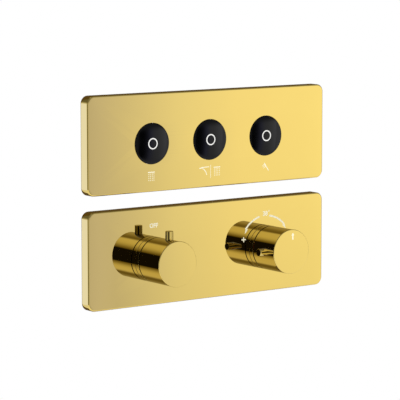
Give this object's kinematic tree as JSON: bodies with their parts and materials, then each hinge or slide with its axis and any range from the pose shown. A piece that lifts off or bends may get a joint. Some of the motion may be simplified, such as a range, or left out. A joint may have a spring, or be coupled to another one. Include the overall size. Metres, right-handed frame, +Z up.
{
  "type": "concealed thermostatic shower control",
  "caption": "Concealed thermostatic shower control: push-button plate over a plate with flow and temperature knobs, with the valve bodies behind.",
  "frame": {"origin": "on the finished wall, midway between the two plates and centred on their width", "axes": "+X to the right seen from the room, +Y into the wall, +Z up; the controls face -Y"},
  "size_m": [0.3, 0.125, 0.216],
  "materials": {
    "polished_gold": "mirror polished gold plate",
    "machined_brass": "turned",
    "cast_brass": "as cast, blasted",
    "copper_pipe": "drawn copper",
    "stainless_steel": "brushed",
    "black_gloss": "high gloss",
    "white_inlay": "satin",
    "grey_plastic": "moulded",
    "white_plastic": "moulded acetal",
    "seal_foam": "closed-cell foam",
    "seal_rubber": "matt",
    "ceramic": "lapped ceramic"
  },
  "bodies": {
    "valve": {"button_plate": "polished_gold", "thermostat_plate": "polished_gold", "button_plate_carrier": "grey_plastic", "thermostat_plate_carrier": "grey_plastic", "button_plate_gasket": "seal_foam", "thermostat_plate_gasket": "seal_foam", "flow_base_ring": "polished_gold", "temperature_base_ring": "polished_gold", "flow_sleeve": "machined_brass", "temperature_sleeve": "machined_brass", "mixer_body": "cast_brass", "mixer_ports": "cast_brass", "diverter_body": "cast_brass", "diverter_ports": "cast_brass", "riser_pipe": "copper_pipe", "riser_nuts": "machined_brass", "riser_seals": "seal_rubber", "hot_inlet_union": "machined_brass", "cold_inlet_union": "machined_brass", "check_valves": "white_plastic", "flow_cartridge": "machined_brass", "flow_fixed_disc": "ceramic", "flow_stop_ring": "white_plastic", "thermostat_cartridge": "machined_brass", "temperature_stop_ring": "white_plastic", "thermostat_spring": "stainless_steel", "left_button_cartridge": "machined_brass", "middle_button_cartridge": "machined_brass", "right_button_cartridge": "machined_brass", "left_button_spring": "stainless_steel", "middle_button_spring": "stainless_steel", "right_button_spring": "stainless_steel", "left_outlet_union": "machined_brass", "middle_outlet_union": "machined_brass", "right_outlet_union": "machined_brass", "wall_rails": "stainless_steel", "body_screws": "stainless_steel", "carrier_pillars": "machined_brass", "carrier_screws": "stainless_steel"},
    "flow_control": {"flow_knob": "polished_gold", "flow_lever": "polished_gold", "flow_knob_insert": "white_plastic", "flow_knob_screw": "stainless_steel", "flow_spindle": "machined_brass", "flow_moving_disc": "ceramic"},
    "temperature_control": {"temperature_knob": "polished_gold", "temperature_lever": "polished_gold", "temperature_knob_insert": "white_plastic", "temperature_knob_screw": "stainless_steel", "temperature_spindle": "machined_brass"},
    "thermostat_shuttle": {"thermostat_element": "machined_brass"},
    "left_button": {"left_button_cap": "black_gloss", "left_button_ring": "white_inlay", "left_button_plunger": "machined_brass"},
    "middle_button": {"middle_button_cap": "black_gloss", "middle_button_ring": "white_inlay", "middle_button_plunger": "machined_brass"},
    "right_button": {"right_button_cap": "black_gloss", "right_button_ring": "white_inlay", "right_button_plunger": "machined_brass"}
  },
  "joints": [
    {"name": "flow_turn", "type": "hinge", "parent": "valve", "child": "flow_control", "pos_m": [-0.0705, 0, -0.0611], "axis": [0, -1, 0], "range_deg": [0, 90]},
    {"name": "temperature_turn", "type": "hinge", "parent": "valve", "child": "temperature_control", "pos_m": [0.0745, 0, -0.0611], "axis": [0, -1, 0], "range_deg": [-120, 60]},
    {"name": "thermostat_travel", "type": "slide", "parent": "valve", "child": "thermostat_shuttle", "axis": [0, 1, 0], "range_m": [-0.0011, 0.0022], "deforming": ["thermostat_spring"]},
    {"name": "left_button_press", "type": "slide", "parent": "valve", "child": "left_button", "axis": [0, 1, 0], "range_m": [0, 0.0035], "stiffness_N_per_m": 2000, "springref_m": -0.003, "deforming": ["left_button_spring"]},
    {"name": "middle_button_press", "type": "slide", "parent": "valve", "child": "middle_button", "axis": [0, 1, 0], "range_m": [0, 0.0035], "stiffness_N_per_m": 2000, "springref_m": -0.003, "deforming": ["middle_button_spring"]},
    {"name": "right_button_press", "type": "slide", "parent": "valve", "child": "right_button", "axis": [0, 1, 0], "range_m": [0, 0.0035], "stiffness_N_per_m": 2000, "springref_m": -0.003, "deforming": ["right_button_spring"]}
  ],
  "couplings": [
    {"joint": "thermostat_travel", "follows": "temperature_turn", "m_per_rad": -0.001}
  ]
}
